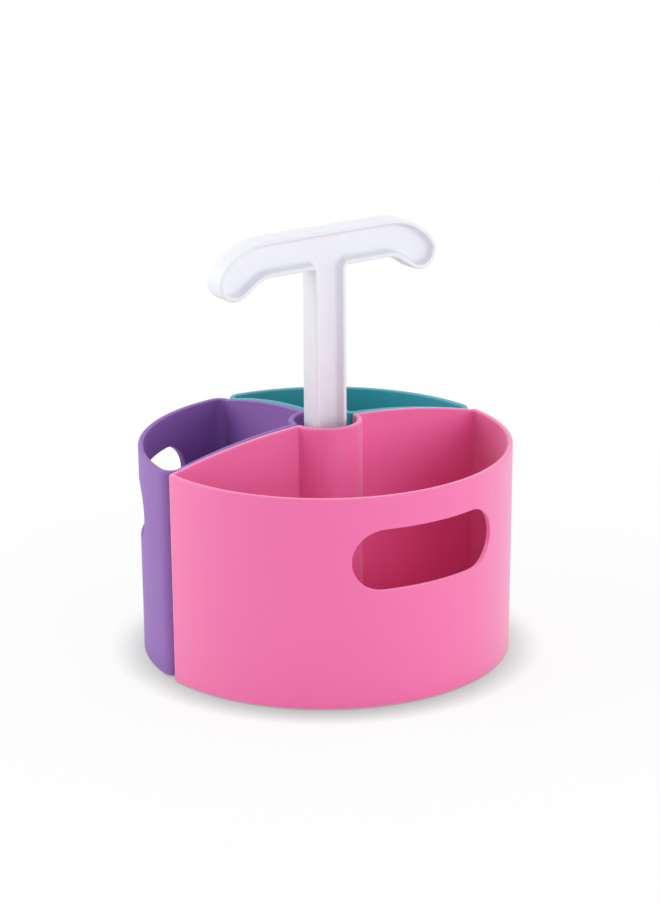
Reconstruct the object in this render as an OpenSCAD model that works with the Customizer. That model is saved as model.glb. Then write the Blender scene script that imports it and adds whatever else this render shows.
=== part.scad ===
// Round desk caddy on a turntable: three lift-out bins stand on a turning tray
// around a carry handle, and the tray runs on a ball race over a footed base.
// Millimetres. +Z is up, the origin is the centre of the footprint on the table,
// and +X runs along the handle bar, over the joint between half and quarter bins.

/* [Bins] */
// Outer radius of the ring of bins
caddy_r = 80; // [72:1:100]
// Height of the outer rim above the table
rim_z = 91.8; // [80:0.2:120]
// Rise of the inner walls above the rim at the centre
dome_rise = 9.6; // [4:0.2:16]
// Wall thickness of the bins
bin_wall = 2.3; // [1.8:0.1:3]
// Floor thickness of the bins
floor_t = 2.2; // [1.6:0.1:4]
// Gap between neighbouring bins
bin_gap = 0.6; // [0.4:0.1:2]
// Outer corner radius of the half bin
half_corner_r = 2.6; // [1:0.2:6]
// Outer corner radius of the quarter bins
quarter_corner_r = 6; // [1:0.5:10]
// Least corner radius inside a bin
inner_corner_r = 1.2; // [0.6:0.2:4]
// Height of the bins' skirts above the table
skirt_gap = 0.7; // [0.6:0.1:3]
// Width of the rim under each bin that stands on the tray
foot_rim_w = 2; // [1.6:0.2:4]

/* [Hand holes] */
// Length of a hand hole, straight across
hole_len = 68.9; // [56:0.1:80]
// Height of a hand hole
hole_h = 26.3; // [20:0.1:34]
// Drop from the outer rim to the top of a hand hole
hole_drop = 14.4; // [8:0.2:30]
// Angle of the half bin's hand hole off the middle of its wall, towards the left bin, in degrees
half_hole_turn = 1.5; // [0:0.1:5]

/* [Handle] */
// Height of the top of the bar above the table
bar_top_z = 184.5; // [170:0.5:220]
// Depth of the bar at the middle
bar_depth = 16.1; // [12:0.1:22]
// Half the length of the bar
bar_half = 55.2; // [45:0.2:70]
// Radius of the round ends of the bar
bar_nose_r = 8; // [5:0.2:9]
// Height of the round ends' centres above the bar's underside
bar_nose_rise = 0.2; // [-3:0.1:3]
// Slope of the underside down to the ends, in degrees
bar_droop = 34; // [20:1:45]
// Radius where the underside turns down
bar_bend_r = 14; // [6:1:24]
// Angle on each round end at which the shoulder begins, in degrees
bar_shoulder = 40; // [30:1:55]
// Width of the stem
stem_w = 15.8; // [12:0.2:20]
// Radius in the corners between stem and bar
stem_corner_r = 1.4; // [0.6:0.2:5]
// Thickness of the handle
handle_t = 10; // [8:0.2:14]
// Thickness of the web between the two recessed faces
web_t = 2; // [1.4:0.1:3]
// Width of the raised border round the recesses
border_w = 1.9; // [1.4:0.1:3]

/* [Tray] */
// Thickness of the turning tray
tray_t = 2.5; // [2:0.1:4]
// Height of the tray's edge lip
lip_h = 1.8; // [1.2:0.1:4]
// Width of the tray's edge lip
lip_w = 2.2; // [1.6:0.1:4]
// Gap between the tray's edge and the bins' skirts
skirt_room = 5; // [3:0.1:7]
// Play between a bin's foot rim and the tray's lip
lip_play = 1.5; // [1.3:0.1:3]
// Gap between the underside of a bin and the top of the lip
lip_room = 0.3; // [0.2:0.1:1]
// Height of the hub above the tray
hub_h = 30; // [20:1:50]
// Least wall of the hub round the stem
hub_wall = 3.2; // [2:0.1:5]
// Gap between the hub and the bins
hub_room = 0.9; // [0.6:0.1:2]
// Thickness of the hub's floor under the stem, above the tray
hub_floor = 4.6; // [3:0.1:8]

/* [Base] */
// Radius of the base
base_r = 62; // [57:1:66]
// Thickness of the base
base_t = 2.5; // [2:0.1:4]
// Gap between the base and the table
base_gap = 0.9; // [0.6:0.1:2]
// Width of the base's upright edge
base_edge_w = 2; // [1.4:0.1:3]
// Gap between the base's upright edge and the tray
edge_room = 0.8; // [0.5:0.1:1]
// Radius of a rubber foot
foot_r = 5.5; // [4:0.1:6]
// Depth that a foot sits in the base
foot_seat = 0.8; // [0.5:0.1:1.2]

/* [Ball race] */
// Radius of the circle on which the balls run
race_r = 46; // [44:0.5:48]
// Radius of a ball
ball_r = 2; // [1.8:0.1:2.6]
// Number of balls
ball_count = 20; // [12:1:30]
// Thickness of a race ring
race_t = 1; // [0.9:0.1:1.6]
// Depth that a race ring sits in its plate
race_seat = 0.5; // [0.3:0.1:0.8]
// Thickness of a race ring left under its groove
groove_web = 0.4; // [0.3:0.05:0.6]
// Width of a race ring outside the circle of the balls
race_out = 4; // [3:0.1:5]
// Width of a race ring inside the circle of the balls
race_in = 7; // [6.5:0.1:8]
// Thickness of the ball cage
cage_t = 1.4; // [1:0.1:2]
// Width of the ball cage
cage_w = 5.6; // [5:0.1:6]
// Number of screws in each race ring
race_screw_count = 4; // [3:1:8]
// Radius of a race screw's thread
race_screw_r = 0.8; // [0.6:0.1:1.2]

/* [Pivot] */
// Radius of the tray's pivot pin
pivot_r = 4; // [3.4:0.1:5]
// Wall of the bush round the pivot pin
bush_wall = 2; // [1.2:0.1:3]
// Radius of the pivot screw's thread
screw_r = 1.75; // [1.4:0.05:2]
// Length of the pivot screw's thread in the stem
screw_bite = 16; // [10:1:24]
// Radius of the pivot screw's head
screw_head_r = 4; // [3.2:0.1:5]
// Radius of the retaining washer
washer_r = 7.5; // [6.8:0.1:9]
// Thickness of the retaining washer
washer_t = 0.8; // [0.5:0.1:1.2]

/* [Hidden] */
$fn = 96;
// Number of facets on large smooth forms
fine = 240;
// Steps along each arc of the handle's outline
arc_steps = 10;
// Overlap that joins the pieces of one solid
joined = 0.2;
// Gap of a turning fit, on the radius
run_fit = 0.05;
// Gap of a fixed fit, on the radius
snug = 0.03;
// Gap under a bin's foot rim
seat_gap = 0.05;
// End play of the turntable on its pivot
end_play = 0.2;
// Reach of a cut beyond the solid that it cuts
past = 10;
// Number of feet
foot_count = 6;
// Plastic between a foot and the base's upright edge
foot_edge = 1;
// Head and length of a race screw, and metal between its head and the ring's inner edge
race_screw_head_h = 0.9;
race_screw_depth = 1.2;
race_screw_edge = 0.4;
// Depth of the pocket under the base for the washer, and the gap and wall round it
washer_pocket_h = 2.3;
washer_room = 1.5;
boss_wall = 2.5;
// Flange of the bush, and its gap to the tray
flange_w = 1.5;
flange_t = 0.6;
flange_room = 0.1;
// Head of the pivot screw, its cross recess, and the gap round its thread in the tray
screw_head_h = 1.2;
slot_len = 4;
slot_w = 1;
slot_depth = 0.6;
screw_room = 0.15;
// Depth of the pilot hole beyond the end of the pivot screw
pilot_extra = 1;
// Gap between the tray's edge and the ends of the skirts
return_room = 0.75;
// Height of the foot of the handle's recess above the hub
recess_lift = 6;

// Heights in the ball race, from the base up
base_top_z = base_gap + base_t;
lower_race_z = base_top_z - race_seat;
groove_r = ball_r + run_fit;
ball_z = lower_race_z + groove_web + groove_r;
upper_race_z = 2 * ball_z - lower_race_z - race_t;
tray_z = upper_race_z + race_t - race_seat;
tray_top_z = tray_z + tray_t;
race_screw_head_r = 2 * race_screw_r;
race_screw_circle_r = race_r - race_in + race_screw_head_r + race_screw_edge;
foot_top_z = base_gap + foot_seat;
foot_circle_r = base_r - base_edge_w - foot_r - foot_edge;

// Pivot, from the washer up
ledge_z = base_gap + washer_pocket_h;
pin_end_z = ledge_z - end_play;
washer_z = pin_end_z - washer_t;
washer_pocket_r = washer_r + washer_room;
bush_r = pivot_r + run_fit + bush_wall;
flange_z = tray_z - flange_room - flange_t;
boss_r = max(washer_pocket_r, bush_r + flange_w) + boss_wall;
screw_hole_r = screw_r + screw_room;

// Tray, hub and bins
tray_r = caddy_r - bin_wall - skirt_room;
lip_in_r = tray_r - lip_w;
foot_rim_r = lip_in_r - lip_play;
skirt_cut_r = tray_r + return_room;
hub_r = norm([stem_w, handle_t]) / 2 + hub_wall;
notch_r = hub_r + hub_room;
hub_top_z = tray_top_z + hub_h;
socket_z = tray_top_z + hub_floor;
bin_seat_z = tray_top_z + seat_gap;
floor_z = tray_top_z + lip_h + lip_room;
floor_top_z = floor_z + floor_t;
dome_top_z = rim_z + dome_rise;
notch_top_z = rim_z + dome_rise * (1 - pow((notch_r + bin_wall) / caddy_r, 2));
hole_z = rim_z - hole_drop - hole_h / 2;
// Distance of a hand hole's cut from the axis, just inside the wall at the hole's ends
hole_from = sqrt(pow(caddy_r - bin_wall, 2) - pow(hole_len / 2, 2)) - bin_wall;

// Handle
bar_under_z = bar_top_z - bar_depth;
nose_x = bar_half - bar_nose_r;
nose_z = bar_under_z + bar_nose_rise;
shoulder_r = (bar_top_z - nose_z - bar_nose_r * sin(bar_shoulder)) / (1 - sin(bar_shoulder));
shoulder_x = nose_x - (shoulder_r - bar_nose_r) * cos(bar_shoulder);
bend_lift = (bar_nose_rise + bar_bend_r) * cos(bar_droop);
bend_x = nose_x - (bar_bend_r + bar_nose_r - bend_lift) / sin(bar_droop);
recess_d = (handle_t - web_t) / 2;
stem_z = socket_z + snug;
recess_z = hub_top_z + recess_lift;

pink = [0.95, 0.42, 0.66];
purple = [0.50, 0.33, 0.72];
teal = [0.16, 0.62, 0.68];
white = [0.93, 0.93, 0.96];
steel = [0.72, 0.73, 0.75];
acetal = [0.90, 0.88, 0.82];
black_rubber = [0.12, 0.12, 0.13];

// Points of an arc round c, from angle a to angle b
function arc(c, r, a, b) =
    [for (i = [0 : arc_steps]) c + r * [cos(a + (b - a) * i / arc_steps), sin(a + (b - a) * i / arc_steps)]];

// Right half of the T handle's outline, drawn in by inset, from the foot of the stem to the bar's top
function half_t(inset, low_z) = concat(
    [[stem_w / 2 - inset, low_z]],
    arc([stem_w / 2 + stem_corner_r, bar_under_z - stem_corner_r], stem_corner_r + inset, 180, 90),
    arc([bend_x, bar_under_z - bar_bend_r], bar_bend_r + inset, 90, 90 - bar_droop),
    arc([nose_x, nose_z], bar_nose_r - inset, -90 - bar_droop, bar_shoulder),
    arc([shoulder_x, bar_top_z - shoulder_r], shoulder_r - inset, bar_shoulder, 90));

function mirrored(points) = [for (i = [len(points) - 1 : -1 : 0]) [-points[i][0], points[i][1]]];

module ring(r_out, r_in, z, h) {
    translate([0, 0, z])
        difference() {
            cylinder(r = r_out, h = h);
            translate([0, 0, -past])
                cylinder(r = r_in, h = h + 2 * past);
        }
}

module bored(r, z, h) {
    translate([0, 0, z])
        cylinder(r = r, h = h);
}

module around(count, r, turn = 0) {
    for (i = [0 : count - 1])
        rotate(turn + i * 360 / count)
            translate([r, 0, 0])
                children();
}

// Centre of a rounded corner, where the edge y = edge meets the outer arc
function corner_centre(outer, edge, r) = [sqrt(pow(outer - r, 2) - pow(edge + r, 2)), edge + r];

// What that rounding takes off a plan
module corner_cut(outer, edge, r) {
    centre = corner_centre(outer, edge, r);
    difference() {
        polygon([centre, [centre[0], edge - past], [outer + past, edge - past],
                 centre * (outer + past) / (outer - r)]);
        translate(centre)
            circle(r = r);
    }
}

// Plan of a bin that spans an angle from +X, drawn in by inset
module bin_plan(span, corner_r, inset, outer_r) {
    outer = outer_r - inset;
    edge = bin_gap / 2 + inset;
    r = max(corner_r - inset, inner_corner_r);
    difference() {
        intersection() {
            circle(r = outer, $fn = fine);
            translate([-2 * outer, edge])
                square([4 * outer, 2 * outer]);
            rotate(span)
                translate([-2 * outer, -2 * outer - edge])
                    square([4 * outer, 2 * outer]);
        }
        corner_cut(outer, edge, r);
        rotate(span)
            mirror([0, 1])
                corner_cut(outer, edge, r);
    }
}

// Plan of the space inside a bin's wall or foot rim, clear of the wall round the hub
module inside_plan(span, corner_r, inset, outer_r) {
    difference() {
        bin_plan(span, corner_r, inset, outer_r);
        circle(r = notch_r + inset);
    }
}

// Hole with round ends through the outer wall
module hand_hole(angle) {
    rotate(angle)
        translate([hole_from, 0, hole_z])
            rotate([90, 0, 90])
                linear_extrude(caddy_r) {
                    square([hole_len - hole_h, hole_h], center = true);
                    for (side = [-1, 1])
                        translate([side * (hole_len - hole_h) / 2, 0])
                            circle(r = hole_h / 2);
                }
}

// Block for the crest of a straight inner wall along +X, under a wide arch that ends where the corner begins
module crest(corner_r) {
    reach = corner_centre(caddy_r, bin_gap / 2, corner_r)[0];
    rise = dome_rise + joined;
    arch_r = (reach * reach + rise * rise) / (2 * rise);
    translate([0, bin_gap / 2 + 2 * bin_wall, 0])
        rotate([90, 0, 0])
            linear_extrude(2 * bin_wall)
                intersection() {
                    translate([0, dome_top_z - arch_r])
                        circle(r = arch_r, $fn = 4 * fine);
                    translate([notch_r / 2, rim_z - joined])
                        square([reach - notch_r / 2, rise]);
                }
}

// A bin before it is hollowed: plan up to the rim, crests along the inner walls and round the hub
module bin_block(span, corner_r) {
    translate([0, 0, skirt_gap])
        linear_extrude(rim_z - skirt_gap)
            bin_plan(span, corner_r, 0, caddy_r);
    crest(corner_r);
    rotate(span)
        mirror([0, 1])
            crest(corner_r);
    translate([0, 0, rim_z - joined])
        linear_extrude(notch_top_z - rim_z + joined)
            intersection() {
                bin_plan(span, corner_r, 0, caddy_r);
                circle(r = notch_r + 2 * bin_wall);
            }
}

// What lies under a bin's floor, between its skirt and its foot rim and inside the rim
module under_plan(span, corner_r) {
    difference() {
        union() {
            bin_plan(span, corner_r, bin_wall, caddy_r);
            circle(r = skirt_cut_r, $fn = fine);
        }
        circle(r = foot_rim_r, $fn = fine);
    }
    inside_plan(span, corner_r, foot_rim_w, foot_rim_r);
}

// A bin with arched inner walls, a skirt that hides the tray's edge and a foot rim inside the tray's lip
module bin_shell(span, corner_r, hole_turn = 0) {
    difference() {
        bin_block(span, corner_r);
        bored(notch_r, -past, dome_top_z + 2 * past);
        translate([0, 0, floor_top_z])
            linear_extrude(dome_top_z)
                inside_plan(span, corner_r, bin_wall, caddy_r);
        linear_extrude(floor_z)
            under_plan(span, corner_r);
        cylinder(r = foot_rim_r + joined, h = bin_seat_z, $fn = fine);
        hand_hole(span / 2 - hole_turn);
    }
}

module half_bin() {
    color(pink)
        rotate(180)
            bin_shell(180, half_corner_r, half_hole_turn);
}

module left_quarter_bin() {
    color(purple)
        rotate(90)
            bin_shell(90, quarter_corner_r);
}

module right_quarter_bin() {
    color(teal)
        bin_shell(90, quarter_corner_r);
}

// T handle with a recessed panel on both faces
module carry_handle() {
    color(white)
        difference() {
            rotate([90, 0, 0])
                linear_extrude(handle_t, center = true)
                    polygon(concat(half_t(0, stem_z), mirrored(half_t(0, stem_z))));
            for (side = [-1, 1])
                translate([0, side * (web_t + recess_d + past) / 2, 0])
                    rotate([90, 0, 0])
                        linear_extrude(recess_d + past, center = true)
                            polygon(concat(half_t(border_w, recess_z), mirrored(half_t(border_w, recess_z))));
            bored(screw_r + snug, stem_z - past, screw_bite + past + pilot_extra);
        }
}

// Tray with an edge lip, a socket for the stem and a pivot pin below
module turntable_tray() {
    color(white)
        difference() {
            union() {
                bored(tray_r, tray_z, tray_t);
                ring(tray_r, lip_in_r, tray_top_z - joined, lip_h + joined);
                bored(hub_r, tray_z, hub_top_z - tray_z);
                bored(pivot_r, pin_end_z, tray_z - pin_end_z + joined);
            }
            translate([-stem_w / 2 - snug, -handle_t / 2 - snug, socket_z])
                cube([stem_w + 2 * snug, handle_t + 2 * snug, hub_h]);
            bored(screw_hole_r, pin_end_z - past, socket_z - pin_end_z + 2 * past);
            ring(race_r + race_out + snug, race_r - race_in - snug, tray_z - past, past + race_seat);
            around(race_screw_count, race_screw_circle_r)
                bored(race_screw_r + snug, tray_z, race_seat + race_screw_depth + snug);
        }
}

// Round base with an upright edge, foot pockets and a boss for the bush
module base_plate() {
    color(white)
        difference() {
            union() {
                bored(base_r, base_gap, base_t);
                ring(base_r, base_r - base_edge_w, base_gap, tray_z - edge_room - base_gap);
                bored(boss_r, base_gap, flange_z - base_gap);
            }
            ring(race_r + race_out + snug, race_r - race_in - snug, lower_race_z, race_seat + past);
            around(foot_count, foot_circle_r)
                bored(foot_r + snug, base_gap - past, past + foot_seat);
            around(race_screw_count, race_screw_circle_r)
                bored(race_screw_r + snug, lower_race_z - race_screw_depth - snug, race_screw_depth + past);
            bored(washer_pocket_r, base_gap - past, ledge_z - base_gap + past);
            bored(bush_r + snug, base_gap, flange_z);
        }
}

module foot(index) {
    color(black_rubber)
        rotate((index - 1) * 360 / foot_count)
            translate([foot_circle_r, 0, 0])
                cylinder(r = foot_r, h = foot_top_z);
}

// Race ring that lies at z, grooved on the side of the balls
module race_ring(z) {
    color(steel)
        difference() {
            ring(race_r + race_out, race_r - race_in, z, race_t);
            translate([0, 0, ball_z])
                rotate_extrude($fn = fine)
                    translate([race_r, 0])
                        circle(r = groove_r);
            around(race_screw_count, race_screw_circle_r)
                bored(race_screw_r + snug, z - past, 2 * past);
        }
}

module lower_race() {
    race_ring(lower_race_z);
}

module upper_race() {
    race_ring(upper_race_z);
}

// Screws of the lower ring, heads up
module lower_race_screws() {
    color(steel)
        around(race_screw_count, race_screw_circle_r) {
            bored(race_screw_head_r, lower_race_z + race_t, race_screw_head_h);
            bored(race_screw_r, lower_race_z - race_screw_depth, race_t + race_screw_depth + joined);
        }
}

// The same screws turned over, in the upper ring
module upper_race_screws() {
    translate([0, 0, 2 * ball_z])
        mirror([0, 0, 1])
            lower_race_screws();
}

module ball_cage() {
    color(acetal)
        difference() {
            ring(race_r + cage_w / 2, race_r - cage_w / 2, ball_z - cage_t / 2, cage_t);
            around(ball_count, race_r)
                bored(ball_r + run_fit, ball_z - cage_t, 2 * cage_t);
        }
}

module bearing_balls() {
    color(steel)
        around(ball_count, race_r)
            translate([0, 0, ball_z])
                sphere(r = ball_r);
}

// Flanged bush that the pivot pin turns in
module pivot_bush() {
    color(acetal)
        difference() {
            union() {
                bored(bush_r, ledge_z, flange_z - ledge_z + joined);
                bored(bush_r + flange_w, flange_z, flange_t);
            }
            bored(pivot_r + run_fit, ledge_z - past, flange_z + 2 * past);
        }
}

module pivot_washer() {
    color(steel)
        ring(washer_r, screw_hole_r, washer_z, washer_t);
}

// Screw through washer and pivot pin into the stem, with a cross recess
module pivot_screw() {
    head_z = washer_z - screw_head_h;
    color(steel)
        difference() {
            union() {
                bored(screw_head_r, head_z, screw_head_h);
                bored(screw_r, washer_z - joined, stem_z + screw_bite - washer_z + joined);
            }
            for (turn = [0, 90])
                rotate(turn)
                    translate([-slot_len / 2, -slot_w / 2, head_z - past])
                        cube([slot_len, slot_w, past + slot_depth]);
        }
}

base_plate();
for (i = [1 : foot_count])
    foot(i);
lower_race();
lower_race_screws();
pivot_bush();
ball_cage();
bearing_balls();
turntable_tray();
upper_race();
upper_race_screws();
pivot_washer();
pivot_screw();
carry_handle();
half_bin();
left_quarter_bin();
right_quarter_bin();
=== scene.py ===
from collections import namedtuple
from math import asin, atan2, cos, degrees, pi, radians, sin, sqrt

import bmesh
import bpy
from mathutils import Matrix, Vector


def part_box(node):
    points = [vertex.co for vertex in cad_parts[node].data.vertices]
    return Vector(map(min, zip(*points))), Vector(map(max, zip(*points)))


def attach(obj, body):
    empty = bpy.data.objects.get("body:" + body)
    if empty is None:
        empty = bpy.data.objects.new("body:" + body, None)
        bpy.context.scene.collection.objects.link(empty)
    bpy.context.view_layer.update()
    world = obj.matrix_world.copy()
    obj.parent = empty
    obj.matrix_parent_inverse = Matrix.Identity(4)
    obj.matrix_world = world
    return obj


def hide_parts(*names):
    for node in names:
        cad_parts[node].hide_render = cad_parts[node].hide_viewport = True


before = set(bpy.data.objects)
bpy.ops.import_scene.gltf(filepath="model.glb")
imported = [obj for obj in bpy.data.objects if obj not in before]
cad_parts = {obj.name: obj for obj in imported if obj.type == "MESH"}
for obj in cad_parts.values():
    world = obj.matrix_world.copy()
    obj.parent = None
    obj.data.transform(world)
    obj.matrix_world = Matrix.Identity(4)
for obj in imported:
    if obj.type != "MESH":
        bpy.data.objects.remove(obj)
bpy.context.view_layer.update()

MM = 0.001

# Bins: the frame gives their reach, and the rest repeats the part's source
half_bin_low, half_bin_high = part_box("half_bin")
caddy_r = -half_bin_low[1]
skirt_z = half_bin_low[2]
half_seam = -half_bin_high[1]
rim_z = 91.8 * MM
dome_rise = 9.6 * MM
wall_t = 2.3 * MM
floor_t = 2.2 * MM
half_corner_r = 2.6 * MM
quarter_corner_r = 6 * MM
foot_rim_w = 2 * MM

# Draft, corners and rounded edges of the bins, which the solids leave plain
wall_draft = 0.7 * MM
notch_corner_r = 1.4 * MM
least_corner_r = 0.5 * MM
rim_round = 0.8 * MM
floor_round = 2 * MM
hole_round = 0.55 * MM
skirt_round = 0.45 * MM
foot_rim_round = 0.4 * MM

# How far the foot rim is let into the floor, and how far its side keeps inside the solid's
buried = 0.2 * MM
shy = 0.05 * MM

# Hand holes, the half bin's turned off the middle by an angle in degrees
hole_len = 68.9 * MM
hole_h = 26.3 * MM
hole_drop = 14.4 * MM
hole_z = rim_z - hole_drop - hole_h / 2
half_hole_turn = 1.5

# Handle, with its angles in degrees
handle_low, handle_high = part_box("carry_handle")
handle_foot_z = handle_low[2]
handle_top_z = handle_high[2]
handle_half = handle_high[0]
handle_t = 2 * handle_high[1]
bar_depth = 16.1 * MM
nose_r = 8 * MM
nose_rise = 0.2 * MM
droop = 34
bend_r = 14 * MM
shoulder = 40
stem_w = 15.8 * MM
stem_corner_r = 1.4 * MM
web_t = 2 * MM
border_w = 1.9 * MM
recess_lift = 6 * MM
recess_draft = 0.6 * MM
recess_round = 1.9 * MM
border_round = 0.5 * MM
handle_round = 0.7 * MM

# Ball race, from the base up
base_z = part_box("base_plate")[0][2]
base_t = 2.5 * MM
base_top_z = base_z + base_t
race_r = 46 * MM
race_t = 1 * MM
race_seat = 0.5 * MM
race_out = 4 * MM
race_in = 7 * MM
race_round = 0.15 * MM
groove_web = 0.4 * MM
ball_r = 2 * MM
ball_count = 20
run_fit = 0.05 * MM
lower_race_z = base_top_z - race_seat
ball_z = lower_race_z + groove_web + ball_r + run_fit
cage_t = 1.4 * MM
cage_w = 5.6 * MM
race_screw_count = 4
race_screw_r = 0.8 * MM
race_screw_head_r = 1.6 * MM
race_screw_head_h = 0.9 * MM
race_screw_depth = 1.2 * MM
race_screw_edge = 0.4 * MM
race_screw_circle_r = race_r - race_in + race_screw_head_r + race_screw_edge

# Tray and hub
tray_z = 2 * ball_z - base_top_z
tray_t = 2.5 * MM
tray_top_z = tray_z + tray_t
skirt_room = 5 * MM
tray_r = caddy_r - wall_t - skirt_room
lip_w = 2.2 * MM
lip_h = 1.8 * MM
lip_play = 1.5 * MM
lip_room = 0.3 * MM
return_room = 0.75 * MM
skirt_end_r = tray_r + return_room
snug = 0.03 * MM
hub_wall = 3.2 * MM
hub_room = 0.9 * MM
hub_r = sqrt(stem_w ** 2 + handle_t ** 2) / 2 + hub_wall
hub_top_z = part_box("turntable_tray")[1][2]
socket_z = handle_foot_z - snug
socket_corner_r = 0.6 * MM
socket_round = 0.5 * MM
tray_round = 0.6 * MM
notch_r = hub_r + hub_room
foot_rim_r = tray_r - lip_w - lip_play
seat_gap = 0.05 * MM
seat_z = tray_top_z + seat_gap
floor_z = tray_top_z + lip_h + lip_room
floor_top_z = floor_z + floor_t
recess_foot_z = hub_top_z + recess_lift

# Base, feet and pivot
base_r = 62 * MM
base_edge_w = 2 * MM
edge_room = 0.8 * MM
base_edge_z = tray_z - edge_room
base_round = 0.5 * MM
foot_count = 6
foot_r = 5.5 * MM
foot_seat = 0.8 * MM
foot_edge = 1 * MM
foot_top_z = base_z + foot_seat
foot_circle_r = base_r - base_edge_w - foot_r - foot_edge
foot_round = 0.35 * MM
foot_dish = 0.3 * MM
pivot_r = 4 * MM
pin_end_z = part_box("turntable_tray")[0][2]
end_play = 0.2 * MM
ledge_z = pin_end_z + end_play
washer_r = 7.5 * MM
washer_t = 0.8 * MM
washer_z = pin_end_z - washer_t
washer_room = 1.5 * MM
washer_pocket_r = washer_r + washer_room
bush_wall = 2 * MM
bush_r = pivot_r + run_fit + bush_wall
flange_w = 1.5 * MM
flange_t = 0.6 * MM
flange_room = 0.1 * MM
flange_z = tray_z - flange_room - flange_t
boss_wall = 2.5 * MM
boss_r = washer_pocket_r + boss_wall
screw_r = 1.75 * MM
screw_room = 0.15 * MM
screw_hole_r = screw_r + screw_room
screw_head_r = 4 * MM
screw_head_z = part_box("pivot_screw")[0][2]
screw_tip_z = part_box("pivot_screw")[1][2]
screw_round = 0.5 * MM
slot_len = 4 * MM
slot_w = 1 * MM
slot_depth = 0.6 * MM

# Steps along the round stretches
outer_steps = 22
corner_steps = 7
wall_steps = 18
notch_corner_steps = 4
notch_steps = 14
hole_flat_steps = 6
hole_end_steps = 12
hole_edge_steps = 3
skirt_edge_steps = 2
edge_steps = 5
bend_steps = 12
turn_steps = 120
small_turn_steps = 40
ball_divisions = 3

# Points this close are one point, and edges that turn by more degrees than this stay sharp
same_place = 0.001 * MM
crease = 50

# Depth of the fine grain in every material
grain_depth = 0.1 * MM


class Wire:
    """An output of a material's node, on which plain arithmetic adds Math nodes."""

    def __init__(self, tree, socket=None):
        self.tree = tree
        self.socket = socket

    def node(self, kind, settings=None, sockets=None, output=0):
        """Adds a node, with its settings first and then the values or links of its sockets."""
        made = self.tree.nodes.new(kind)
        for name, value in (settings or {}).items():
            setattr(made, name, value)
        for name, value in (sockets or {}).items():
            if isinstance(value, Wire):
                self.tree.links.new(value.socket, made.inputs[name])
            else:
                made.inputs[name].default_value = value
        return Wire(self.tree, made.outputs[output] if made.outputs else None)

    def maths(self, operation, first, second):
        return self.node("ShaderNodeMath", {"operation": operation}, {0: first, 1: second})

    def __add__(self, other):
        return self.maths("ADD", self, other)

    def __radd__(self, other):
        return self.maths("ADD", other, self)

    def __sub__(self, other):
        return self.maths("SUBTRACT", self, other)

    def __mul__(self, other):
        return self.maths("MULTIPLY", self, other)

    def __rmul__(self, other):
        return self.maths("MULTIPLY", other, self)


def linear(red, green, blue):
    """A colour as picture values from 0 to 255, made linear for the nodes."""
    shares = [v / 255 for v in (red, green, blue)]
    return tuple(s / 12.92 if s < 0.04045 else ((s + 0.055) / 1.055) ** 2.4 for s in shares) + (1,)


def new_material(name):
    """An empty material, and the wire from which its nodes are added."""
    material = bpy.data.materials.new(name)
    material.use_nodes = True
    material.node_tree.nodes.clear()
    return material, Wire(material.node_tree)


def noise(start, place, scale, detail, roughness=0.5):
    return start.node("ShaderNodeTexNoise", None,
                      {"Vector": place, "Scale": scale, "Detail": detail, "Roughness": roughness})


def bumpy(start, height, strength):
    return start.node("ShaderNodeBump", None,
                      {"Height": height, "Strength": strength, "Distance": grain_depth})


def blended(start, share, first, second):
    return start.node("ShaderNodeMix", {"data_type": "RGBA"}, {0: share, 6: first, 7: second}, 2)


def moulded_plastic(name, light, deep, rough, skin, bloom=0, grain=0.05, glow=0.05):
    """Satin plastic: a slow drift of tone and gloss, a soft skin, a pale bloom and a fine grain."""
    material, start = new_material(name)
    place = start.node("ShaderNodeTexCoord", output="Object")
    drift = noise(start, place, scale=26, detail=3)
    pits = noise(start, place, scale=900, detail=3, roughness=0.6)
    spark = noise(start, place, scale=2400, detail=2)
    surface = start.node("ShaderNodeBsdfPrincipled", None, {
        "Base Color": blended(start, drift, deep, light),
        "Roughness": rough + 0.1 * (drift - 0.5) + 0.06 * (pits - 0.5),
        "Normal": bumpy(start, spark + 0.6 * pits, grain),
        "IOR": 1.52,
        "Coat Weight": skin,
        "Coat Roughness": 0.5,
        "Sheen Weight": bloom,
        "Sheen Roughness": 0.55,
        "Subsurface Weight": glow,
        "Subsurface Radius": (1, 0.8, 0.9),
        "Subsurface Scale": 1.2 * MM,
    })
    start.node("ShaderNodeOutputMaterial", None, {"Surface": surface})
    return material


def bright_steel(name):
    """Turned and polished steel, with faint scuffs that spread its shine."""
    material, start = new_material(name)
    place = start.node("ShaderNodeTexCoord", output="Object")
    scuffs = noise(start, place, scale=700, detail=5, roughness=0.7)
    surface = start.node("ShaderNodeBsdfPrincipled", None, {
        "Base Color": blended(start, scuffs, linear(176, 178, 182), linear(206, 207, 210)),
        "Roughness": 0.16 + 0.2 * scuffs,
        "Normal": bumpy(start, scuffs, 0.04),
        "Metallic": 1,
    })
    start.node("ShaderNodeOutputMaterial", None, {"Surface": surface})
    return material


def foot_rubber(name):
    """Black rubber with a dusty, fine-grained skin."""
    material, start = new_material(name)
    place = start.node("ShaderNodeTexCoord", output="Object")
    dust = noise(start, place, scale=420, detail=6, roughness=0.7)
    surface = start.node("ShaderNodeBsdfPrincipled", None, {
        "Base Color": blended(start, dust, linear(26, 26, 28), linear(62, 61, 63)),
        "Roughness": 0.62 + 0.25 * dust,
        "Normal": bumpy(start, dust, 0.2),
    })
    start.node("ShaderNodeOutputMaterial", None, {"Surface": surface})
    return material


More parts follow.
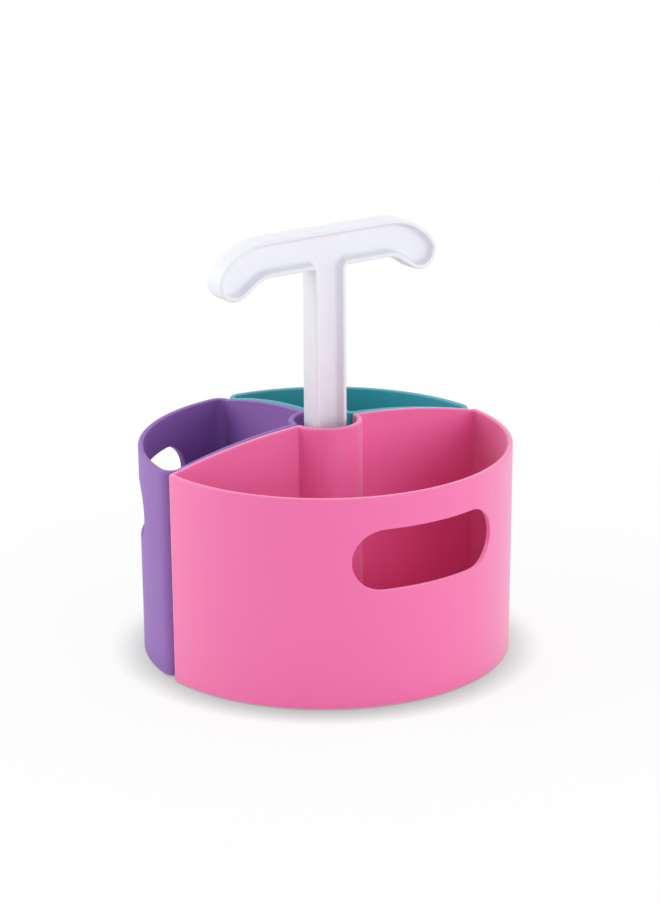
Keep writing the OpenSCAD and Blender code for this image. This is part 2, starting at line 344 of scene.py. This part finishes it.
pink = moulded_plastic("pink_moulding", linear(241, 103, 169), linear(237, 97, 165),
                       rough=0.5, skin=0.5, bloom=0.42)
purple = moulded_plastic("purple_moulding", linear(145, 101, 177), linear(137, 94, 170),
                         rough=0.55, skin=0)
teal = moulded_plastic("teal_moulding", linear(56, 163, 178), linear(47, 154, 170),
                       rough=0.5, skin=0.3)
white = moulded_plastic("white_moulding", linear(237, 239, 246), linear(232, 234, 242),
                        rough=0.4, skin=0.3, grain=0.035, glow=0.08)
ivory = moulded_plastic("bearing_plastic", linear(226, 221, 206), linear(214, 208, 192),
                        rough=0.45, skin=0)
steel = bright_steel("bearing_steel")
rubber = foot_rubber("foot_rubber")


def arc(centre, radius, start, end, steps):
    """Points of an arc, both ends included, with its angles in degrees."""
    turns = [radians(start + (end - start) * i / steps) for i in range(steps + 1)]
    return [Vector((centre[0] + radius * cos(t), centre[1] + radius * sin(t))) for t in turns]


def on_circle(radius, angle):
    """The point at an angle in degrees on a circle round the axis."""
    return Vector((radius * cos(radians(angle)), radius * sin(radians(angle))))


def circle(radius, steps, centre=(0, 0)):
    return arc(centre, radius, 0, 360, steps)[:-1]


def between(first, last, steps):
    return [first.lerp(last, i / steps) for i in range(steps + 1)]


def quarter_round(width):
    """Steps round a quarter circle of that radius, as distances along each of its two sides."""
    turns = [pi / 2 * i / edge_steps for i in range(edge_steps + 1)]
    return [(width * (1 - cos(t)), width * sin(t)) for t in turns]


def level(points, height):
    return [Vector((p.x, p.y, height)) for p in points]


def raised(points, heights):
    return [Vector((p.x, p.y, z)) for p, z in zip(points, heights)]


def pairs(loop):
    """Neighbours round a closed loop."""
    return list(zip(loop, loop[1:] + loop[:1]))


def edges_of(bm, loop):
    return [bm.edges.get(pair) for pair in pairs(loop)]


def first_loop(bm, places):
    """A closed loop of new points and edges, from which a surface grows."""
    loop = [bm.verts.new(place) for place in places]
    for pair in pairs(loop):
        bm.edges.new(pair)
    return loop


def grow(bm, loop, places):
    """Extrudes a closed loop to new places and returns the new loop, in the same order."""
    made = set(bmesh.ops.extrude_edge_only(bm, edges=edges_of(bm, loop))["geom"])
    new_loop = []
    for vert, place in zip(loop, places):
        partner = next(e.other_vert(vert) for e in vert.link_edges if e.other_vert(vert) in made)
        partner.co = place
        new_loop.append(partner)
    return new_loop


def cap(bm, loop):
    bmesh.ops.contextual_create(bm, geom=edges_of(bm, loop))


def fill_level(bm, height):
    """Fills the flat face at a height, with a hole for each open loop inside its outer one."""
    level_verts = {v for v in bm.verts if abs(v.co.z - height) < same_place}
    edges = [e for e in bm.edges if e.is_boundary and level_verts.issuperset(e.verts)]
    bmesh.ops.triangle_fill(bm, edges=edges, use_beauty=True)


def rounded(bm, edges, width, steps):
    bmesh.ops.bevel(bm, geom=edges, offset=width, segments=steps, profile=0.5, affect="EDGES",
                    material=-1, clamp_overlap=True)


def turned(bm, corners, steps, closed=True):
    """Turns an outline round the axis: each corner is a radius, a height and its rounding's width."""
    outline = [bm.verts.new((radius, 0, height)) for radius, height, _ in corners]
    for pair in pairs(outline) if closed else zip(outline, outline[1:]):
        bm.edges.new(pair)
    for corner, (_, _, width) in zip(outline, corners):
        if width:
            bmesh.ops.bevel(bm, geom=[corner], offset=width, segments=edge_steps, profile=0.5,
                            affect="VERTICES", material=-1)
    bmesh.ops.spin(bm, geom=bm.verts[:] + bm.edges[:], cent=(0, 0, 0), axis=(0, 0, 1), angle=2 * pi,
                   steps=steps, use_merge=True)


def repeated(bm, count):
    """Copies what is there round the axis, at equal angles."""
    bmesh.ops.spin(bm, geom=bm.verts[:] + bm.edges[:] + bm.faces[:], cent=(0, 0, 0), axis=(0, 0, 1),
                   angle=2 * pi * (count - 1) / count, steps=count - 1, use_duplicate=True)


def new_object(bm, name, material):
    """Turns a bmesh into an object of the scene."""
    mesh = bpy.data.meshes.new(name)
    bm.to_mesh(mesh)
    bm.free()
    mesh.materials.append(material)
    made = bpy.data.objects.new(name, mesh)
    bpy.context.scene.collection.objects.link(made)
    return made


def piece(bm, name, material, body, slot, *nodes):
    """Makes a finished piece of a bmesh, which rides a body and stands for CAD nodes."""
    bmesh.ops.remove_doubles(bm, verts=bm.verts, dist=same_place)
    bmesh.ops.recalc_face_normals(bm, faces=bm.faces)
    made = new_object(bm, name, material)
    made.data.polygons.foreach_set("use_smooth", [True] * len(made.data.polygons))
    made.data.set_sharp_from_angle(angle=radians(crease))
    made.modifiers.new("even_shading", "WEIGHTED_NORMAL").keep_sharp = True
    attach(made, body)
    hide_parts(*nodes)


# A bin's angle, its outer corners, how far its hand hole is off its middle, and where its middle
# lies from +X, all angles in degrees
BinForm = namedtuple("BinForm", "span corner_r hole_turn turn")
half_form = BinForm(180, half_corner_r, -half_hole_turn, -90)
left_form = BinForm(90, quarter_corner_r, 0, 135)
right_form = BinForm(90, quarter_corner_r, 0, 45)

# Columns of a bin's outer wall, from its hand hole's middle to its end, with the hole's half height at
# each. The last one lies half a step short of the tip, so that the hole's two edges stay apart.
hole_flat = (hole_len - hole_h) / 2
hole_columns = [(hole_flat * i / hole_flat_steps, hole_h / 2) for i in range(hole_flat_steps)]
for step in range(hole_end_steps + 1):
    hole_angle = pi / 2 * step / (hole_end_steps + 0.5)
    hole_columns.append((hole_flat + hole_h / 2 * sin(hole_angle), hole_h / 2 * cos(hole_angle)))


def half_plan(form, inset, outer_r, side):
    """Half a bin's plan drawn in by inset, with +X through the bin's middle, from hand hole to notch.

    The outer wall, the straight wall with both of its corners, and the notch come as three lists,
    and a fourth gives the distance from the axis along the straight wall. A side of -1 gives the
    mirror image of the other half.
    """
    outer = outer_r - inset
    edge = half_seam + inset
    inner = notch_r + inset
    corner_r = max(form.corner_r - inset, least_corner_r)
    notch_corner = max(notch_corner_r - inset, least_corner_r)
    corner = (sqrt((outer - corner_r) ** 2 - (edge + corner_r) ** 2), edge + corner_r)
    notch = (sqrt((inner + notch_corner) ** 2 - (edge + notch_corner) ** 2), edge + notch_corner)
    corner_turn = degrees(atan2(corner[1], corner[0]))
    notch_turn = degrees(atan2(notch[1], notch[0]))
    hole_turns = [side * form.hole_turn + degrees(asin(across / outer)) for across, _ in hole_columns]
    front = [on_circle(outer, turn) for turn in hole_turns]
    front += arc((0, 0), outer, hole_turns[-1], form.span / 2 - corner_turn, outer_steps)[1:]
    wall = arc(corner, corner_r, corner_turn, -90, corner_steps)[1:]
    wall += between(Vector((corner[0], edge)), Vector((notch[0], edge)), wall_steps)[1:]
    wall += arc(notch, notch_corner, -90, notch_turn - 180, notch_corner_steps)[1:]
    lean = radians(form.span / 2)
    leant = [Vector((p.x * cos(lean) + p.y * sin(lean), p.x * sin(lean) - p.y * cos(lean)))
             for p in wall]
    middle = arc((0, 0), inner, form.span / 2 - notch_turn, 0, notch_steps)[1:]
    return front, leant, middle, [p.x for p in wall]


def whole(half):
    """A closed list from half of it, with the first and last entries on the line of symmetry."""
    return half + half[-2:0:-1]


def plan(form, inset, outer_r=caddy_r):
    """A bin's closed plan drawn in by inset, from its hand hole's middle round to it again."""
    near = sum(half_plan(form, inset, outer_r, 1)[:3], [])
    far = sum(half_plan(form, inset, outer_r, -1)[:3], [])
    return near + [Vector((p.x, -p.y)) for p in far[-2:0:-1]]


def drafted(form, inset, heights):
    """Places round a bin's plan at each column's height; the outer wall draws in towards its foot."""
    at_rim = plan(form, inset)
    at_foot = plan(form, inset, caddy_r - wall_draft)
    return raised([a.lerp(b, (rim_z - z) / rim_z) for a, b, z in zip(at_rim, at_foot, heights)], heights)


def rim_heights(form):
    """Height of a bin's rim at each column: level outside, a wide arch along the inner walls."""
    front, _, middle, along = half_plan(form, 0, caddy_r, 1)
    reach = along[corner_steps - 1]
    arch_r = (reach ** 2 + dome_rise ** 2) / (2 * dome_rise)
    rises = [max(0, sqrt(arch_r ** 2 - x ** 2) - arch_r + dome_rise) if x < reach else 0 for x in along]
    half = [0] * len(front) + rises + [rises[-1]] * len(middle)
    return whole([rim_z + rise for rise in half])


def hole_heights(count, side):
    """Height of the hand hole's edge at each column; beyond the hole its last height runs on."""
    half_heights = [h for _, h in hole_columns]
    half_heights += [half_heights[-1]] * (count // 2 + 1 - len(half_heights))
    return whole([hole_z + side * h for h in half_heights])


def bin_shell(name, material, node, slot, form):
    """A bin with a rounded rim, a hand hole, a floor, a skirt and the rim that it stands on."""
    bm = bmesh.new()
    tops = [z - rim_round for z in rim_heights(form)]
    lows = hole_heights(len(tops), -1)
    highs = hole_heights(len(tops), 1)
    base = first_loop(bm, drafted(form, 0, [floor_z] * len(tops)))
    outer_low = grow(bm, base, drafted(form, 0, lows))
    outer_high = grow(bm, outer_low, drafted(form, 0, highs))
    loop = outer_high
    for inset, lift in quarter_round(rim_round):
        loop = grow(bm, loop, drafted(form, inset, [z + lift for z in tops]))
    for inset, lift in reversed(quarter_round(rim_round)):
        loop = grow(bm, loop, drafted(form, wall_t - inset, [z + lift for z in tops]))
    inner_high = grow(bm, loop, drafted(form, wall_t, highs))
    inner_low = grow(bm, inner_high, drafted(form, wall_t, lows))
    loop = inner_low
    for inset, drop in quarter_round(floor_round):
        height = floor_top_z + floor_round - drop
        loop = grow(bm, loop, drafted(form, wall_t + inset, [height] * len(tops)))
    cap(bm, loop)
    under = grow(bm, base, drafted(form, wall_t, [floor_z] * len(tops)))
    cap(bm, under)
    cut_hand_hole(bm, outer_low, outer_high, inner_low, inner_high)
    add_skirt(bm, base, under)
    add_foot_rim(bm, form)
    bmesh.ops.rotate(bm, verts=bm.verts, matrix=Matrix.Rotation(radians(form.turn), 3, "Z"))
    piece(bm, name, material, node, slot, node)


def cut_hand_hole(bm, outer_low, outer_high, inner_low, inner_high):
    """Takes out the wall between the hole's columns, inside and out, and joins the two openings."""
    reach = len(hole_columns) - 1
    faces = []
    for low, high in ((outer_low, outer_high), (inner_low, inner_high)):
        for i in range(-reach, reach):
            faces.append(bm.faces.get((low[i], low[i + 1], high[i + 1], high[i])))
    bmesh.ops.delete(bm, geom=faces, context="FACES")
    edges = [e for e in bm.edges if e.is_boundary]
    bmesh.ops.bridge_loops(bm, edges=edges)
    rounded(bm, edges, hole_round, hole_edge_steps)


def add_skirt(bm, base, under):
    """Draws the outer wall down past the floor, as far round the corners as the tray leaves room."""
    strip = []
    for (a, b), (c, d) in zip(pairs(base), pairs(under)):
        if min(c.co.xy.length, d.co.xy.length) > skirt_end_r:
            strip.append(bm.faces.get((a, b, d, c)))
    made = bmesh.ops.extrude_face_region(bm, geom=strip)["geom"]
    bmesh.ops.delete(bm, geom=strip, context="FACES")
    verts = [v for v in made if isinstance(v, bmesh.types.BMVert)]
    faces = {f for f in made if isinstance(f, bmesh.types.BMFace)}
    bmesh.ops.translate(bm, verts=verts, vec=(0, 0, skirt_z - floor_z))
    edges = {e for f in faces for e in f.edges if sum(g in faces for g in e.link_faces) == 1}
    rounded(bm, list(edges), skirt_round, skirt_edge_steps)


def add_foot_rim(bm, form):
    """A closed rim, let into the floor from below."""
    top = floor_z + buried
    edge = [(inset, seat_z + foot_rim_round - drop) for inset, drop in quarter_round(foot_rim_round)]
    stations = [(shy, top)]
    stations += [(shy + inset, height) for inset, height in edge]
    stations += [(foot_rim_w - inset, height) for inset, height in reversed(edge)]
    stations.append((foot_rim_w, top))
    loops = [first_loop(bm, level(plan(form, shy, foot_rim_r), top))]
    for inset, height in stations[1:]:
        loops.append(grow(bm, loops[-1], level(plan(form, inset, foot_rim_r), height)))
    bmesh.ops.bridge_loops(bm, edges=edges_of(bm, loops[0]) + edges_of(bm, loops[-1]))


bin_shell("half_bin_shell", pink, "half_bin", "pink_plastic", half_form)
bin_shell("left_quarter_shell", purple, "left_quarter_bin", "purple_plastic", left_form)
bin_shell("right_quarter_shell", teal, "right_quarter_bin", "teal_plastic", right_form)


def handle_outline(inset, foot_z):
    """The T handle's outline drawn in by inset, as x and z, from the stem's foot up and round."""
    under_z = handle_top_z - bar_depth
    nose = (handle_half - nose_r, under_z + nose_rise)
    shoulder_sine = sin(radians(shoulder))
    shoulder_r = (handle_top_z - nose[1] - nose_r * shoulder_sine) / (1 - shoulder_sine)
    shoulder_x = nose[0] - (shoulder_r - nose_r) * cos(radians(shoulder))
    bend_lift = (nose_rise + bend_r) * cos(radians(droop))
    bend_x = nose[0] - (bend_r + nose_r - bend_lift) / sin(radians(droop))
    stem_corner = (stem_w / 2 + stem_corner_r, under_z - stem_corner_r)
    bend = (bend_x, under_z - bend_r)
    top = (shoulder_x, handle_top_z - shoulder_r)
    half = [Vector((stem_w / 2 - inset, foot_z))]
    half += arc(stem_corner, stem_corner_r + inset, 180, 90, bend_steps)
    half += arc(bend, bend_r + inset, 90, 90 - droop, bend_steps)
    half += arc(nose, nose_r - inset, -90 - droop, shoulder, 2 * bend_steps)
    half += arc(top, shoulder_r - inset, shoulder, 90, bend_steps)[1:]
    return half + [Vector((-p.x, p.y)) for p in reversed(half)]


def handle_section():
    """The handle's front half in section, from panel to side: inset, depth and the outline's foot."""
    panel = web_t / 2
    face = handle_t / 2
    panel_edge = border_w + recess_draft + recess_round
    section = []
    for rise, run in quarter_round(recess_round):
        section.append((panel_edge - run, panel + rise, recess_foot_z))
    for inset, lift in quarter_round(border_round):
        section.append((border_w - inset, face - border_round + lift, recess_foot_z))
    for inset, lift in reversed(quarter_round(handle_round)):
        section.append((inset, face - handle_round + lift, handle_foot_z))
    return section


def carry_handle():
    """T handle, grown from the panel of its one face over the border and sides to the other panel."""
    bm = bmesh.new()
    front = handle_section()
    stations = [(inset, -depth, foot) for inset, depth, foot in front]
    stations += [(inset, depth, foot) for inset, depth, foot in reversed(front)]
    loop = None
    for inset, y, foot in stations:
        places = [Vector((p.x, y, p.y)) for p in handle_outline(inset, foot + inset)]
        if loop is None:
            loop = first_loop(bm, places)
            cap(bm, loop)
        else:
            loop = grow(bm, loop, places)
    cap(bm, loop)
    piece(bm, "t_handle", white, "turntable", "white_plastic", "carry_handle")


def socket_outline(spread):
    """The stem's socket in plan, with small round corners, widened by spread."""
    corner_r = socket_corner_r + spread
    x = stem_w / 2 + snug - socket_corner_r
    y = handle_t / 2 + snug - socket_corner_r
    points = []
    for i, centre in enumerate(((x, y), (-x, y), (-x, -y), (x, -y))):
        points += arc(centre, corner_r, 90 * i, 90 * i + 90, edge_steps)
    return points


def turntable_tray():
    """Tray with an edge lip, a hub with the stem's socket, and the pivot pin below."""
    bm = bmesh.new()
    lip_top_z = tray_top_z + lip_h
    turned(bm, [
        (screw_hole_r, socket_z, 0),
        (screw_hole_r, pin_end_z, 0),
        (pivot_r, pin_end_z, race_round),
        (pivot_r, tray_z, 0),
        (race_r - race_in, tray_z, 0),
        (race_r - race_in, tray_z + race_seat, 0),
        (race_r + race_out, tray_z + race_seat, 0),
        (race_r + race_out, tray_z, 0),
        (tray_r, tray_z, tray_round),
        (tray_r, lip_top_z, tray_round),
        (tray_r - lip_w, lip_top_z, tray_round),
        (tray_r - lip_w, tray_top_z, tray_round),
        (hub_r, tray_top_z, tray_round),
        (hub_r, hub_top_z, tray_round),
        (hub_r - 2 * tray_round, hub_top_z, 0)], turn_steps, closed=False)
    loop = first_loop(bm, level(socket_outline(socket_round), hub_top_z))
    for drop, run in quarter_round(socket_round)[1:]:
        loop = grow(bm, loop, level(socket_outline(socket_round - run), hub_top_z - drop))
    grow(bm, loop, level(socket_outline(0), socket_z))
    fill_level(bm, hub_top_z)
    fill_level(bm, socket_z)
    piece(bm, "tray_and_hub", white, "turntable", "white_plastic", "turntable_tray")


def base_plate():
    """Round base with an upright edge, a boss for the bush, and pockets for washer and feet below."""
    bm = bmesh.new()
    turned(bm, [
        (base_r - 2 * base_round, base_z, 0),
        (base_r, base_z, base_round),
        (base_r, base_edge_z, base_round),
        (base_r - base_edge_w, base_edge_z, base_round),
        (base_r - base_edge_w, base_top_z, base_round),
        (race_r + race_out, base_top_z, 0),
        (race_r + race_out, lower_race_z, 0),
        (race_r - race_in, lower_race_z, 0),
        (race_r - race_in, base_top_z, 0),
        (boss_r, base_top_z, base_round),
        (boss_r, flange_z, base_round),
        (bush_r, flange_z, 0),
        (bush_r, ledge_z, 0),
        (washer_pocket_r, ledge_z, base_round),
        (washer_pocket_r, base_z, base_round),
        (washer_pocket_r + 2 * base_round, base_z, 0)], turn_steps, closed=False)
    for centre in circle(foot_circle_r, foot_count):
        pocket = circle(foot_r + snug, small_turn_steps, centre)
        cap(bm, grow(bm, first_loop(bm, level(pocket, base_z)), level(pocket, foot_top_z)))
    fill_level(bm, base_z)
    piece(bm, "base_disc", white, "base", "white_plastic", "base_plate")


def rubber_foot(number, centre):
    """A round pad with a shallow dish in the face that it stands on."""
    bm = bmesh.new()
    turned(bm, [
        (0, foot_dish, 0),
        (foot_r / 2, foot_dish, foot_round),
        (foot_r / 2 + foot_dish, 0, foot_round / 2),
        (foot_r, 0, foot_round),
        (foot_r, foot_top_z, 0),
        (0, foot_top_z, 0)], small_turn_steps, closed=False)
    bmesh.ops.translate(bm, verts=bm.verts, vec=centre.to_3d())
    piece(bm, f"rubber_foot_{number}", rubber, "base", "rubber", f"foot_{number}")


def over_balls(corners):
    """An outline turned over across the balls' middle, for the ring and screws that lie above them."""
    return [(radius, 2 * ball_z - height, width) for radius, height, width in corners]


def race_ring(name, body, node, above):
    """A race ring with a groove for the balls, below them or, turned over, above."""
    bm = bmesh.new()
    top_z = lower_race_z + race_t
    groove_r = ball_r + run_fit
    dip = degrees(asin((ball_z - top_z) / groove_r))
    groove = [(p.x, p.y, 0) for p in arc((race_r, ball_z), groove_r, -dip, dip - 180, 2 * edge_steps)]
    corners = [
        (race_r - race_in, top_z, race_round),
        (race_r - race_in, lower_race_z, race_round),
        (race_r + race_out, lower_race_z, race_round),
        (race_r + race_out, top_z, race_round)] + groove
    turned(bm, over_balls(corners) if above else corners, turn_steps)
    piece(bm, name, steel, body, "steel", node)


def race_screws(name, body, node, above):
    """The pan-headed screws of the race ring below the balls or, turned over, above."""
    bm = bmesh.new()
    head_z = lower_race_z + race_t
    corners = [
        (0, head_z + race_screw_head_h, 0),
        (race_screw_head_r, head_z + race_screw_head_h, race_screw_head_h / 2),
        (race_screw_head_r, head_z, 0),
        (race_screw_r, head_z, 0),
        (race_screw_r, lower_race_z - race_screw_depth, race_round),
        (0, lower_race_z - race_screw_depth, 0)]
    turned(bm, over_balls(corners) if above else corners, small_turn_steps, closed=False)
    bmesh.ops.translate(bm, verts=bm.verts, vec=(race_screw_circle_r, 0, 0))
    repeated(bm, race_screw_count)
    piece(bm, name, steel, body, "steel", node)


def ball_cage():
    """A flat ring with a hole for each ball."""
    bm = bmesh.new()
    low_z = ball_z - cage_t / 2
    high_z = ball_z + cage_t / 2
    outlines = [circle(race_r + cage_w / 2, turn_steps), circle(race_r - cage_w / 2, turn_steps)]
    for centre in circle(race_r, ball_count):
        outlines.append(circle(ball_r + run_fit, small_turn_steps, centre))
    for outline in outlines:
        grow(bm, first_loop(bm, level(outline, low_z)), level(outline, high_z))
    fill_level(bm, low_z)
    fill_level(bm, high_z)
    piece(bm, "cage_ring", ivory, "ball_cage", "acetal", "ball_cage")


def bearing_balls():
    bm = bmesh.new()
    bmesh.ops.create_icosphere(bm, subdivisions=ball_divisions, radius=ball_r)
    bmesh.ops.translate(bm, verts=bm.verts, vec=(race_r, 0, ball_z))
    repeated(bm, ball_count)
    piece(bm, "race_balls", steel, "ball_cage", "steel", "bearing_balls")


def pivot_bush():
    bm = bmesh.new()
    turned(bm, [
        (pivot_r + run_fit, ledge_z, race_round),
        (bush_r, ledge_z, race_round),
        (bush_r, flange_z, 0),
        (bush_r + flange_w, flange_z, race_round),
        (bush_r + flange_w, flange_z + flange_t, race_round),
        (pivot_r + run_fit, flange_z + flange_t, race_round)], small_turn_steps)
    piece(bm, "flanged_bush", ivory, "base", "acetal", "pivot_bush")


def pivot_washer():
    bm = bmesh.new()
    turned(bm, [
        (screw_hole_r, washer_z, 0),
        (washer_r, washer_z, race_round),
        (washer_r, washer_z + washer_t, race_round),
        (screw_hole_r, washer_z + washer_t, 0)], small_turn_steps)
    piece(bm, "retaining_washer", steel, "turntable", "steel", "pivot_washer")


def pivot_screw():
    """Pan-headed screw, head down, with a cross recess."""
    bm = bmesh.new()
    turned(bm, [
        (screw_head_r - 2 * screw_round, screw_head_z, 0),
        (screw_head_r, screw_head_z, screw_round),
        (screw_head_r, washer_z, 0),
        (screw_r, washer_z, 0),
        (screw_r, screw_tip_z, screw_round),
        (0, screw_tip_z, 0)], small_turn_steps, closed=False)
    cross = []
    for i in range(4):
        quarter = Matrix.Rotation(radians(90 * i), 2)
        for x, y in ((slot_len, -slot_w), (slot_len, slot_w), (slot_w, slot_w)):
            cross.append(quarter @ Vector((x / 2, y / 2)))
    mouth = first_loop(bm, level(cross, screw_head_z))
    cap(bm, grow(bm, mouth, level(cross, screw_head_z + slot_depth)))
    fill_level(bm, screw_head_z)
    piece(bm, "cross_head_screw", steel, "turntable", "steel", "pivot_screw")


carry_handle()
turntable_tray()
base_plate()
for foot_number, foot_centre in enumerate(circle(foot_circle_r, foot_count), 1):
    rubber_foot(foot_number, foot_centre)
race_ring("lower_ring", "base", "lower_race", above=False)
race_ring("upper_ring", "turntable", "upper_race", above=True)
race_screws("lower_ring_screws", "base", "lower_race_screws", above=False)
race_screws("upper_ring_screws", "turntable", "upper_race_screws", above=True)
ball_cage()
bearing_balls()
pivot_bush()
pivot_washer()
pivot_screw()

# Camera at the photograph's angle, with its lens in mm and the distance that it sees in m
view_azimuth = radians(-34.7)
view_height = radians(19.55)
view_distance = 1263 * MM
view_roll = radians(-0.32)
view_target = Vector((0, 0, 46.3 * MM))
aim_right = 1.94 * MM
aim_up = 37.92 * MM
view_lens = 116.42
view_reach = 100

# Floor, its shadow (mostly painted from ambient occlusion, with a faint real part from the lamps) and
# the point that the lamps face
floor_half = 12
floor_near = 110 * MM
floor_far = 320 * MM
floor_lift = 0.86
floor_white = linear(245, 245, 245)
plain_white = linear(255, 255, 255)
painted_shadow_grey = linear(116, 114, 114)
shadow_reach = 15.5 * MM
shadow_lean = radians(58)
shadow_rays = 16
lamp_aim_z = 60 * MM


def direction(azimuth, height):
    """Towards a place that far round from the front, seen from the caddy, and that far up."""
    return Vector((sin(azimuth) * cos(height), -cos(azimuth) * cos(height), sin(height)))


def place_camera():
    """A camera that looks a little past the caddy, as the photograph's does, with its slight roll."""
    towards = direction(view_azimuth, view_height)
    right = Vector((cos(view_azimuth), sin(view_azimuth), 0))
    up = towards.cross(right)
    place = view_target + towards * view_distance
    forward = (view_target + right * aim_right + up * aim_up - place).normalized()
    right = forward.cross(Vector((0, 0, 1))).normalized()
    up = right.cross(forward)
    turned_right = right * cos(view_roll) + up * sin(view_roll)
    turned_up = up * cos(view_roll) - right * sin(view_roll)
    data = bpy.data.cameras.new("photo_camera")
    data.lens = view_lens
    data.clip_end = view_reach
    camera = bpy.data.objects.new("photo_camera", data)
    camera.matrix_world = Matrix((turned_right, turned_up, -forward)).transposed().to_4x4()
    camera.location = place
    bpy.context.scene.collection.objects.link(camera)
    bpy.context.scene.camera = camera


def seen_rays(start):
    """One for rays that show the background, straight to the camera, mirrored or through glass."""
    kinds = ("Is Camera Ray", "Is Glossy Ray", "Is Transmission Ray")
    camera, glossy, through = [start.node("ShaderNodeLightPath", output=kind) for kind in kinds]
    return camera + glossy + through


def studio_floor():
    """A wide white floor: near the caddy a painted shadow in its glow and a faint real shadow from the
    lamps, plain white further off.
    """
    material, start = new_material("white_floor")
    place = start.node("ShaderNodeTexCoord", output="Object")
    away = start.node("ShaderNodeVectorMath", {"operation": "LENGTH"}, {0: place}, "Value")
    far = start.node("ShaderNodeMapRange", {"interpolation_type": "SMOOTHSTEP"},
                     {"Value": away, "From Min": floor_near, "From Max": floor_far})
    lean = direction(view_azimuth + pi, shadow_lean)
    towards = start.node("ShaderNodeCombineXYZ", None, {"X": lean.x, "Y": lean.y, "Z": lean.z})
    # Painted shadow: ambient occlusion, leant towards the front, turns the floor's glow grey near the
    # caddy
    clear = start.node("ShaderNodeAmbientOcclusion", {"samples": shadow_rays},
                       {"Distance": shadow_reach, "Normal": towards}, "AO")
    lit = start.node("ShaderNodeBsdfDiffuse", None, {"Color": floor_white})
    plain = start.node("ShaderNodeEmission", None,
                       {"Color": blended(start, clear, painted_shadow_grey, plain_white)})
    # Near the caddy a small share of the lit floor shows the lamps' real shadow; further off only the
    # glow shows
    share = seen_rays(start) * (floor_lift + (1 - floor_lift) * far)
    surface = start.node("ShaderNodeMixShader", None, {0: share, 1: lit, 2: plain})
    start.node("ShaderNodeOutputMaterial", None, {"Surface": surface})
    bm = bmesh.new()
    bmesh.ops.create_grid(bm, x_segments=1, y_segments=1, size=floor_half)
    floor = new_object(bm, "studio_floor", material)


def soft_box(name, azimuth, height, distance, size, power):
    """A wide lamp that faces the caddy; its azimuth counts from the camera's."""
    data = bpy.data.lights.new(name, "AREA")
    data.shape = "RECTANGLE"
    data.size, data.size_y = size
    data.energy = power
    lamp = bpy.data.objects.new(name, data)
    away = direction(view_azimuth + radians(azimuth), radians(height))
    lamp.location = Vector((0, 0, lamp_aim_z)) + away * distance
    lamp.rotation_euler = away.to_track_quat("Z", "Y").to_euler()
    bpy.context.scene.collection.objects.link(lamp)


def white_world(ambient):
    """Plain white to look at, and a softer light of the same white on the caddy."""
    world = bpy.data.worlds.new("studio_world")
    world.use_nodes = True
    world.node_tree.nodes.clear()
    start = Wire(world.node_tree)
    strength = ambient + (1 - ambient) * seen_rays(start)
    surface = start.node("ShaderNodeBackground", None, {"Color": (1, 1, 1, 1), "Strength": strength})
    start.node("ShaderNodeOutputWorld", None, {"Surface": surface})
    bpy.context.scene.world = world


place_camera()
studio_floor()
soft_box("left_soft_box", azimuth=-88, height=25, distance=1.1, size=(1.0, 0.8), power=6.6)
soft_box("right_soft_box", azimuth=100, height=20, distance=1.1, size=(0.9, 0.8), power=2.5)
soft_box("front_soft_box", azimuth=37, height=15, distance=1.2, size=(0.9, 0.6), power=4.95)
soft_box("top_soft_box", azimuth=180, height=70, distance=1.0, size=(0.5, 0.4), power=2.6)
white_world(ambient=0.45)
bpy.context.scene.view_settings.view_transform = "Standard"
